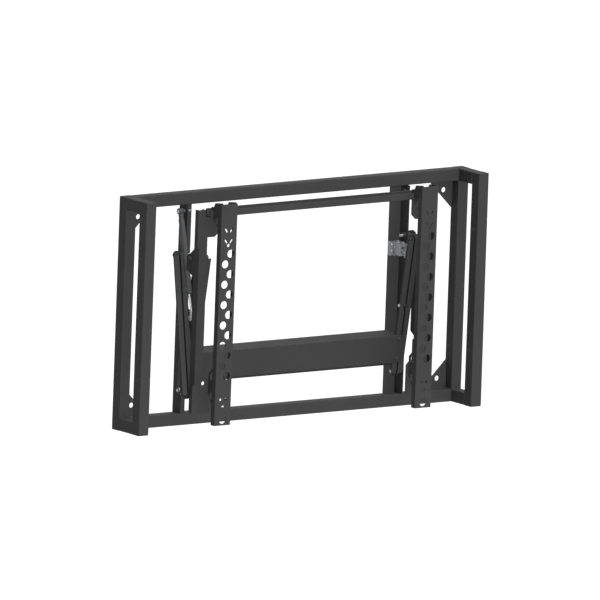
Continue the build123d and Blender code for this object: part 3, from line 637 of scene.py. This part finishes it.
class MOUNT_OT_finishes(MountOperator):
    """Make every material and give the CAD nodes theirs"""

    bl_idname = "mount.finishes"
    bl_label = "Finishes"

    def execute(self, context):
        hues = context.scene.mount_colours
        grain, worked = powder_grain_group(), worked_metal_group()
        for slot, coat, rubbed, scale, rub, depth, specular in (
            ("frame_black", hues.frame_black, hues.rubbed, 1100.0, 0.35, 0.06, 0.12),
            ("arm_black", hues.arm_black, hues.rubbed, 1100.0, 0.5, 0.06, 0.12),
            ("cap_black", hues.plastic, hues.frame_black, 600.0, 0.2, 0.12, 0.12),
            ("strut_grey", hues.enamel, hues.rubbed, 2000.0, 0.3, 0.01, 0.55),
            ("nylon_white", hues.nylon, (0.60, 0.59, 0.55), 700.0, 0.6, 0.04, 0.45),
        ):
            make_finish(slot, grain, {"Coat": coat, "Rubbed": rubbed},
                        {"Grain Scale": scale, "Rub": rub}, depth,
                        "Specular IOR Level", specular)
        for slot, bright, dull, scale, dullness, depth, metallic in (
            ("bright_zinc", hues.zinc, (0.36, 0.36, 0.35), 420.0, 0.5, 0.02, 1.0),
            ("latch_silver", hues.casting, (0.25, 0.255, 0.265), 240.0, 0.6, 0.05, 0.55),
            ("chromed_rod", hues.chrome, (0.66, 0.67, 0.70), 1500.0, 0.15, 0.004, 1.0),
        ):
            make_finish(slot, worked, {"Metal": bright, "Dull": dull},
                        {"Line Scale": scale, "Dullness": dullness}, depth,
                        "Metallic", metallic)
        for row in frame["record"]["subparts"]:
            node = frame["nodes"][row["node"]]
            node.data.materials.clear()
            node.data.materials.append(finish_of(row["material_slot"]))
        return {"FINISHED"}


class MOUNT_OT_tubes(MountOperator):
    """Round the corners of the frame's square tubes"""

    bl_idname = "mount.tubes"
    bl_label = "Frame tubes"

    def execute(self, context):
        slack = 0.1 * MM
        names = ["rear_top_beam", "rear_bottom_beam"]
        for side, _ in SIDES:
            names += [f"rear_post_{side}", f"front_post_{side}"]
            names += [f"top_side_member_{side}", f"bottom_side_member_{side}"]
        for node in names:
            piece = cad_copy(node)
            low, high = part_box(node)
            middle, half = (low + high) / 2, (high - low) / 2
            run = max(range(3), key=lambda i: half[i])
            across = [i for i in range(3) if i != run]

            def outer_corner(point, way, size):
                return abs(way[run]) > ALONG and all(
                    abs(point[i] - middle[i]) > half[i] - slack for i in across
                )

            bevel_edges(piece, outer_corner, context.scene.mount_sizes.tube_corner, 4)
            finished(piece, node + "_tube", "frame_black", "frame", node)
        return {"FINISHED"}


class MOUNT_OT_plugs(MountOperator):
    """Mould the plugs that close the posts' ends"""

    bl_idname = "mount.plugs"
    bl_label = "End plugs"

    def execute(self, context):
        width, height = 25.9, 6.0
        plug = slab((0, 0, -height / 2), (width, width, height))
        deselected(plug, "FACE")
        for face in plug.data.polygons:
            face.select = face.normal.z > ALONG
        bpy.ops.object.mode_set(mode="EDIT")
        for inset, rise in ((2.4, -0.5), (5.0, 0.4)):
            bpy.ops.mesh.inset(thickness=inset * MM)
            bpy.ops.transform.translate(value=(0, 0, rise * MM))
        bevel_edges(
            plug, lambda point, way, size: abs(way.z) > ALONG and size > 5 * MM, 2.0 * MM, 4
        )
        soften(plug, 0.2 * MM)
        places = [
            moved(side * (HALF_WIDTH - TUBE / 2), -depth, level * HALF_HEIGHT)
            @ Matrix.Rotation(0 if level > 0 else math.pi, 4, "X")
            for _, side in SIDES
            for depth in (TUBE / 2, FRAME_DEPTH - TUBE / 2)
            for level in (-1, 1)
        ]
        finished(copied(plug, places), "end_plug_caps", "cap_black", "frame", "post_end_plugs")
        return {"FINISHED"}


class MOUNT_OT_welds(MountOperator):
    """Lay weld beads where the frame's tubes, gussets and uprights meet"""

    bl_idname = "mount.welds"
    bl_label = "Welds"

    @staticmethod
    def bead(run, radius):
        """One bead along Z with the ripples of its run."""
        stations = [(0, 0.4 * radius), (0.4, 0.8 * radius)]
        reach = 1.0
        while reach < run - 1.0:
            stations += [(reach, radius), (reach + 0.5, 0.86 * radius)]
            reach += 1.3
        stations += [(run - 0.4, 0.8 * radius), (run, 0.4 * radius)]
        return turned(stations, Matrix.Identity(4), sides=14)

    @staticmethod
    def corner_runs(side, level):
        """Starts and ends of the beads at one corner of the frame."""
        short, proud, leg = 3, 1.2, 64
        x, z = side * INNER_X, level * INNER_Z
        far_x, low_z, end_z = (
            side * (HALF_WIDTH - short), level * (INNER_Z + short), level * (HALF_HEIGHT - short)
        )
        runs = [
            ((x, -TUBE + proud, low_z), (x, -TUBE + proud, end_z)),
            ((x, -6, z), (x, -TUBE + 2, z)),
            ((x - side * leg, -4, z), (x - side * short, -4, z)),
            ((x, -4, z - level * leg), (x, -4, z - level * short)),
            ((side * 300, -3, z), (side * 329, -3, z)),
        ]
        for depth in (TUBE, FRAME_DEPTH - TUBE):
            runs.append(((x + side * proud, -depth, low_z), (x + side * proud, -depth, end_z)))
            runs.append(((x + side * short, -depth, z), (far_x, -depth, z)))
        return runs

    def execute(self, context):
        radius = context.scene.mount_sizes.weld_radius / MM
        places = {}
        for _, side in SIDES:
            for level in (-1, 1):
                for start, end in self.corner_runs(side, level):
                    run = round((Vector(end) - Vector(start)).length, 1)
                    places.setdefault(run, []).append(between(start, end))
        beads = [copied(self.bead(run, radius), spots) for run, spots in places.items()]
        finished(joined(beads), "frame_welds", "frame_black", "frame")
        return {"FINISHED"}


class MOUNT_OT_gussets(MountOperator):
    """Round the edges of the corner gussets"""

    bl_idname = "mount.gussets"
    bl_label = "Gussets"

    def execute(self, context):
        for level in ("top", "bottom"):
            for side, _ in SIDES:
                sheet_piece(f"gusset_{level}_{side}", width=0.6 * MM)
        return {"FINISHED"}


class MOUNT_OT_uprights(MountOperator):
    """Round the edges of the fixed uprights"""

    bl_idname = "mount.uprights"
    bl_label = "Fixed uprights"

    def execute(self, context):
        for side, _ in SIDES:
            sheet_piece(f"fixed_upright_{side}")
        return {"FINISHED"}


class MOUNT_OT_arms(MountOperator):
    """Round the edges of the scissor's arms"""

    bl_idname = "mount.arms"
    bl_label = "Scissor arms"

    def execute(self, context):
        for side, _ in SIDES:
            for arm in (f"outer_arm_{side}", f"inner_arm_{side}"):
                sheet_piece(arm, "arm_black", width=0.6 * MM)
        return {"FINISHED"}


class MOUNT_OT_torsion_beam(MountOperator):
    """Round the torsion beam's folds and set its button screws"""

    bl_idname = "mount.torsion_beam"
    bl_label = "Torsion beam"

    def execute(self, context):
        piece = cad_copy("torsion_beam")
        bevel_edges(
            piece,
            lambda point, way, size: abs(way.x) > ALONG and size > 0.5 and point.y < -30 * MM,
            1.2 * MM, 3,
        )
        soften(piece, 0.5 * MM)
        finished(piece, "torsion_beam_steel", "frame_black", "inner_arms", "torsion_beam")
        stand, lean = math.cos(LEAN), math.sin(LEAN)
        x, off_arm = 303.125, 14.0
        places = []
        for _, side in SIDES:
            for along in (82.0, 132.0):
                depth = MIDDLE_PIN + stand * off_arm - lean * along
                z = MIDDLE_Z - lean * off_arm - stand * along
                places.append(moved(side * x, -depth, z) @ facing_front(LEAN))
        finished(copied(button_head(), places), "beam_button_screws", "arm_black",
                 "inner_arms", "torsion_beam_screws")
        return {"FINISHED"}


class MOUNT_OT_carriage(MountOperator):
    """Round the carriage's corner plates and uprights, and fold the uprights' edges"""

    bl_idname = "mount.carriage"
    bl_label = "Carriage"

    @staticmethod
    def side_flange(sign):
        """Flange that joins the pivot's ear to the slotted plate, its rear corners drawn in."""
        piece = slab((sign * 331.5, -78.2, -9.0), (3.0, 35.0, 222.0))
        for corner in piece.data.vertices:
            if corner.co.y > -70 * MM:
                drawn_in = 16 if corner.co.z > 0 else 24
                corner.co.z -= math.copysign(drawn_in * MM, corner.co.z)
                corner.co.y = -60.8 * MM
        return piece

    def execute(self, context):
        for side, sign in SIDES:
            node = f"carriage_upright_{side}"
            inner_margin = slab((sign * 326.0, -106.5, 15.0), (8.2, 3.0, 347.6))
            front_fold = slab((sign * 350.5, -111.5, -5.0), (3.0, 10.0, 340.0))
            piece = united(cad_copy(node), self.side_flange(sign), inner_margin, front_fold)
            bevel_edges(piece, front_folds(107.9), 2.0 * MM, 3)
            soften(piece, 0.5 * MM)
            finished(piece, node + "_steel", "frame_black", "carriage", node)
            sheet_piece(f"top_corner_plate_{side}")
            hole = ([(sign * 320.0, -107.0, SCREW_Z)], "Y", 5.05, 8.0)
            sheet_piece(f"bottom_corner_plate_{side}", holes=[hole])
        return {"FINISHED"}


class MOUNT_OT_hook_bar(MountOperator):
    """Round the folds of the bar that the rails hang on, and set its two screws"""

    bl_idname = "mount.hook_bar"
    bl_label = "Hook bar"

    def execute(self, context):
        piece = cad_copy("hook_bar")
        bevel_edges(
            piece, lambda point, way, size: abs(way.x) > ALONG and point.z < 242.5 * MM,
            2.0 * MM, 3,
        )
        soften(piece, 0.5 * MM)
        finished(piece, "hook_bar_steel", "frame_black", "carriage", "hook_bar")
        places = [moved(side * 309.0, -111.0, 252.0) @ facing_front() for _, side in SIDES]
        finished(copied(button_head(), places), "hook_bar_button_screws", "arm_black",
                 "carriage", "hook_bar_screws")
        return {"FINISHED"}


class MOUNT_OT_rails(MountOperator):
    """Punch the display rails' holes, round their key slots and deepen their flanges"""

    bl_idname = "mount.rails"
    bl_label = "Display rails"

    def execute(self, context):
        depth = RAIL_FRONT - 1.25
        count, first_z, pitch, shift = 13, 156.0, 25.2, 7.5
        for side, sign in SIDES:
            node = f"display_rail_{side}"
            x = sign * RAIL_X
            piece = cad_copy(node)
            for corner in piece.data.vertices:
                if corner.co.y > -155 * MM:
                    corner.co.y += 3.5 * MM
            large = [
                (x + (shift if index % 2 == 0 else -shift), -depth, first_z - pitch * index)
                for index in range(count)
            ]
            drill(piece, large + [(x, -depth, -254.0)], "Y", 10.05, 8.0)
            small = [(x - shift, -depth, -204.0), (x + shift, -depth, -204.0)]
            drill(piece, small, "Y", 3.3, 8.0)

            def slot_corner(point, way, size):
                across, up = point.x / MM - x, point.z / MM
                return (
                    abs(way.y) > ALONG and 180 < up < 222 and abs(across) < 16
                    and math.hypot(across, up - 177) > 6
                )

            bevel_edges(piece, slot_corner, 2.1 * MM, 5)
            bevel_edges(piece, front_folds(165.9), 1.6 * MM, 3)
            soften(piece, 0.35 * MM)
            finished(piece, node + "_steel", "frame_black", f"rail_{side}", node)
        return {"FINISHED"}


class MOUNT_OT_brackets(MountOperator):
    """Round the rails' brackets, punch their holes and turn the plumb screws"""

    bl_idname = "mount.brackets"
    bl_label = "Rail brackets"

    def execute(self, context):
        for side, sign in SIDES:
            x = sign * RAIL_X
            upper = [(x, -148.0, 236.0)]
            lower = [(x, -147.0, SCREW_Z + 23), (x, -147.0, SCREW_Z - 24)]
            sheet_piece(f"upper_hook_bracket_{side}", holes=[(upper, "X", 10.05, 60.0)])
            sheet_piece(f"lower_bracket_{side}", holes=[(lower, "X", 10.05, 60.0)])
            place = moved(x, -108.3, SCREW_Z) @ facing_front()
            parts = [turned(PLUMB_HEAD, place), thread(3.6, 38.0, place)]
            parts += hexagon(36.2, 30.0, place)
            name = f"plumb_screw_{side}"
            finished(joined(parts), name + "_turned", "bright_zinc", f"rail_{side}", name)
        return {"FINISHED"}


class MOUNT_OT_pivots(MountOperator):
    """Turn the scissor's pivot bolts, nuts and spacers"""

    bl_idname = "mount.pivots"
    bl_label = "Pivot bolts"

    def execute(self, context):
        head, ear = OUTER_FAR + GAP, 352.0
        rear, centre, front = ([], []), ([], []), []
        for _, side in SIDES:
            shank, nut, heads = bolt_set(
                side, FLANGE_INNER, head, REAR_PIN, TOP_PIN_Z,
                (FLANGE_OUTER, OUTER_NEAR - GAP), proud=9.5,
            )
            rear[0].extend(shank)
            rear[1].extend(nut + heads)
            shank, nut, heads = bolt_set(
                side, INNER_NEAR, head, MIDDLE_PIN, MIDDLE_Z, (INNER_FAR, OUTER_NEAR - GAP)
            )
            centre[0].extend(shank)
            centre[1].extend(nut + heads)
            shank, nut, heads = bolt_set(
                side, INNER_NEAR - GAP, ear, FRONT_PIN, TOP_PIN_Z,
                (INNER_FAR + GAP, FLANGE_INNER),
            )
            front += shank + nut + heads
        two_finishes(*rear, "rear_pivots", "frame", "rear_pivot_bolts")
        two_finishes(*centre, "centre_pivots", "inner_arms", "centre_pivot_bolts")
        finished(joined(front), "front_pivots", "arm_black", "carriage", "front_pivot_bolts")
        return {"FINISHED"}


class MOUNT_OT_slides(MountOperator):
    """Turn the sliding pins, their clips and their nylon rollers"""

    bl_idname = "mount.slides"
    bl_label = "Sliding pins"

    def execute(self, context):
        pins, rings, rollers = [], [], []
        for side_name, side in SIDES:
            place = along_x(side, REAR_PIN, LOW_PIN_Z)
            rings += hexagon(INNER_NEAR - HEAD, INNER_NEAR, place)
            rings.append(collar(INNER_FAR, 329.6, place))
            rings.append(turned(SLIDE_CLIP, place))
            pins.append(turned(SLIDE_PIN, place))
            rollers.append(turned(SLIDE_ROLLER, place))
            body = f"outer_arm_{side_name}"
            shank, nut, heads = bolt_set(
                side, 329.7, OUTER_FAR, FRONT_PIN, LOW_PIN_Z, (333.4, OUTER_NEAR)
            )
            name = f"front_slide_bolt_{side_name}"
            two_finishes(shank, nut + heads, name + "_turned", body, name)
            name = f"front_slide_roller_{side_name}"
            roller = turned(SLIDE_ROLLER, along_x(side, FRONT_PIN, LOW_PIN_Z))
            finished(roller, name + "_turned", "nylon_white", body, name)
        two_finishes(pins, rings, "rear_slide_pins", "inner_arms", "rear_slide_bolts")
        finished(joined(rollers), "rear_rollers", "nylon_white", "inner_arms",
                 "rear_slide_rollers")
        return {"FINISHED"}


class MOUNT_OT_strut(MountOperator):
    """Turn the gas strut, its ball studs and its sockets"""

    bl_idname = "mount.strut"
    bl_label = "Gas strut"

    @staticmethod
    def ball_stud(stations, place):
        """Stud whose last station is its collar, with a neck and a ball set on it."""
        neck, ball, steps = 3.0, 5.0, 12
        start, sweep = -53, 138
        stations = [*stations, (stations[-1][0], neck)]
        for step in range(steps + 1):
            angle = math.radians(start + step * sweep / steps)
            stations.append((STRUT_X + ball * math.sin(angle), ball * math.cos(angle)))
        return turned(stations, place)

    @staticmethod
    def socket(centre, towards, radius):
        """Socket barrel round the ball, with a grooved neck of a radius along the strut."""
        groove = radius - 0.7
        neck = (
            (6.4, 4.6), (9.0, radius), (14.0, radius), (14.3, groove), (15.2, groove),
            (15.5, radius), (17.4, radius), (18.0, radius - 0.4),
        )
        return joined([
            turned(SOCKET_BARREL, along_x(-1, -centre.y, centre.z)),
            turned(neck, between(centre, towards)),
        ])

    def execute(self, context):
        top, low = along_x(-1, *TOP_STUD), along_x(-1, *LOW_STUD)
        nut = hexagon(FLANGE_INNER - NUT, FLANGE_INNER, top)
        stud = [thread(TOP_COLLAR[0][0], 314.0, top), self.ball_stud(TOP_COLLAR, top)]
        shank, plain_nut, heads = bolt_set(1, FLANGE_INNER, FLANGE_OUTER, *TOP_STUD)
        two_finishes(stud + shank, nut + plain_nut + heads, "top_studs", "frame",
                     "upright_top_studs")
        finished(self.ball_stud(LOW_COLLAR, low), "low_ball_stud", "bright_zinc",
                 "outer_arm_left", "strut_low_stud")
        finished(self.socket(STRUT_TOP, STRUT_LOW, 6.4), "top_ball_socket", "strut_grey",
                 "strut_barrel", "strut_top_socket")
        finished(turned(SOCKET_CAP, top), "top_socket_cap", "bright_zinc", "strut_barrel")
        finished(self.socket(STRUT_LOW, STRUT_TOP, 5.0), "low_ball_socket", "bright_zinc",
                 "strut_piston", "strut_low_socket")
        tube = turned(STRUT_TUBE, between(STRUT_TOP, STRUT_LOW))
        finished(tube, "gas_strut_tube", "strut_grey", "strut_barrel", "strut_tube")
        rod = turned(STRUT_ROD, between(STRUT_LOW, STRUT_TOP))
        finished(rod, "gas_strut_rod", "chromed_rod", "strut_piston", "strut_rod")
        return {"FINISHED"}


class MOUNT_OT_latch(MountOperator):
    """Cast the push latch, with its screws, pin, pawl and striker"""

    bl_idname = "mount.latch"
    bl_label = "Latch"

    @staticmethod
    def case_corner(point, way, size):
        """Whether an edge is an outer corner of the case's plate."""
        return abs(way.y) > ALONG and size > 11 * MM and (
            abs(abs(point.x / MM - LATCH_X) - 16.5) < 0.2
        )

    def execute(self, context):
        case = cad_copy("latch_case")
        bevel_edges(case, self.case_corner, 3.0 * MM, 4)
        low = [(LATCH_X + step * 10.3, -9.5, LATCH_Z - 17.9) for step in (-1, 0, 1)]
        drill(case, low, "Y", 3.4, 20.0, sides=32)
        top = [(306.4, -depth, LATCH_Z + 15.5) for depth in (24.0, 38.0)]
        drill(case, top, "Z", 2.2, 8.0, sides=32)
        soften(case, 0.7 * MM, 3)
        finished(case, "latch_casting", "latch_silver", "frame", "latch_case")
        places = [
            moved(LATCH_X - 12.5, -16.0, LATCH_Z + z) @ facing_front() for z in (10.0, -6.0)
        ]
        finished(copied(button_head(3.2, 2.0), places), "latch_button_screws", "bright_zinc",
                 "frame", "latch_screws")
        rivet = turned(PAWL_RIVET, along_x(1, 20, LATCH_Z + 5.5))
        finished(rivet, "pawl_rivet", "bright_zinc", "frame", "pawl_pin")
        for node, name, body, width, angle in (
            ("latch_pawl", "pawl_casting", "latch_pawl", 0.6, 30.0),
            ("latch_striker", "striker_staple", "inner_arms", 0.5, 60.0),
        ):
            piece = cad_copy(node)
            soften(piece, width * MM, angle=angle)
            finished(piece, name, "latch_silver", body, node)
        return {"FINISHED"}


class MOUNT_OT_stage(MountOperator):
    """Set the floor, the light, the world and the camera"""

    bl_idname = "mount.stage"
    bl_label = "Stage"

    @staticmethod
    def lay_floor(hue):
        """Pale floor that looks a little lighter to the camera alone."""
        only()
        bpy.ops.mesh.primitive_plane_add(size=40, location=(0, 0, -0.62))
        floor = bpy.context.object
        floor.name = "floor"
        material = bpy.data.materials.new("pale_floor")
        material.use_nodes = True
        tree = material.node_tree
        shader = tree.nodes["Principled BSDF"]
        shader.inputs["Base Color"].default_value = (*hue, 1)
        shader.inputs["Roughness"].default_value = 0.9
        shader.inputs["Emission Color"].default_value = (1, 1, 1, 1)
        path = tree.nodes.new("ShaderNodeLightPath")
        seen = math_node(tree, "MULTIPLY", path.outputs["Is Camera Ray"], 0.5)
        tree.links.new(seen, shader.inputs["Emission Strength"])
        floor.data.materials.append(material)

    @staticmethod
    def light_world(scene):
        """World that is white to the camera and in gloss, and lights the mount weakly."""
        scene.world = bpy.data.worlds.new("studio")
        scene.world.use_nodes = True
        tree = scene.world.node_tree
        shade = tree.nodes["Background"]
        shade.inputs["Color"].default_value = (1, 1, 1, 1)
        path = tree.nodes.new("ShaderNodeLightPath").outputs
        seen = math_node(tree, "MAXIMUM", path["Is Camera Ray"], path["Is Glossy Ray"])
        seen = math_node(tree, "MAXIMUM", seen, path["Is Transmission Ray"])
        tree.links.new(map_range(tree, seen, 0.0, 1.0, 0.2, 1.0), shade.inputs["Strength"])

    def execute(self, context):
        scene = context.scene
        self.lay_floor(scene.mount_colours.floor)
        self.light_world(scene)
        for name, direction, strength, spread, shadow in LAMPS:
            lamp = bpy.data.lights.new(name, "SUN")
            lamp.energy = strength
            lamp.angle = math.radians(spread)
            lamp.cycles.cast_shadow = shadow
            lamp.use_shadow = shadow
            holder = bpy.data.objects.new(name, lamp)
            scene.collection.objects.link(holder)
            holder.rotation_euler = Vector(direction).to_track_quat("Z", "Y").to_euler()

        right = VIEW_RIGHT.normalized()
        back = (VIEW_BACK - VIEW_BACK.dot(right) * right).normalized()
        up = back.cross(right)
        camera = bpy.data.cameras.new("camera")
        camera.type = "ORTHO"
        camera.ortho_scale = VIEW_WIDTH
        camera.clip_end = 20
        holder = bpy.data.objects.new("camera", camera)
        scene.collection.objects.link(holder)
        turn = Matrix((right, up, back)).transposed()
        place = turn.to_4x4()
        place.translation = turn @ Vector(VIEW_PLACE)
        holder.matrix_world = place
        scene.camera = holder
        scene.view_settings.view_transform = "Standard"
        return {"FINISHED"}


OPERATORS = (
    MOUNT_OT_finishes, MOUNT_OT_tubes, MOUNT_OT_plugs, MOUNT_OT_welds, MOUNT_OT_gussets,
    MOUNT_OT_uprights, MOUNT_OT_arms, MOUNT_OT_torsion_beam, MOUNT_OT_carriage,
    MOUNT_OT_hook_bar, MOUNT_OT_rails, MOUNT_OT_brackets, MOUNT_OT_pivots, MOUNT_OT_slides,
    MOUNT_OT_strut, MOUNT_OT_latch, MOUNT_OT_stage,
)


class MOUNT_PT_panel(bpy.types.Panel):
    """Panel of the mount's operators and settings."""

    bl_idname = "MOUNT_PT_panel"
    bl_label = "Wall mount"
    bl_space_type = "VIEW_3D"
    bl_region_type = "UI"
    bl_category = "Wall mount"

    def draw(self, context):
        layout = self.layout
        for operator in OPERATORS:
            layout.operator(operator.bl_idname)
        for settings in (context.scene.mount_sizes, context.scene.mount_colours):
            for name in settings.bl_rna.properties.keys():
                if name not in ("rna_type", "name"):
                    layout.prop(settings, name)


CLASSES = (MountSizes, MountColours, *OPERATORS, MOUNT_PT_panel)


def register():
    for item in CLASSES:
        bpy.utils.register_class(item)
    bpy.types.Scene.mount_sizes = bpy.props.PointerProperty(type=MountSizes)
    bpy.types.Scene.mount_colours = bpy.props.PointerProperty(type=MountColours)


def unregister():
    del bpy.types.Scene.mount_colours
    del bpy.types.Scene.mount_sizes
    for item in reversed(CLASSES):
        bpy.utils.unregister_class(item)


def main():
    register()
    for operator in OPERATORS:
        group, name = operator.bl_idname.split(".")
        getattr(getattr(bpy.ops, group), name)()
    only()


if __name__ == "__main__":
    main()
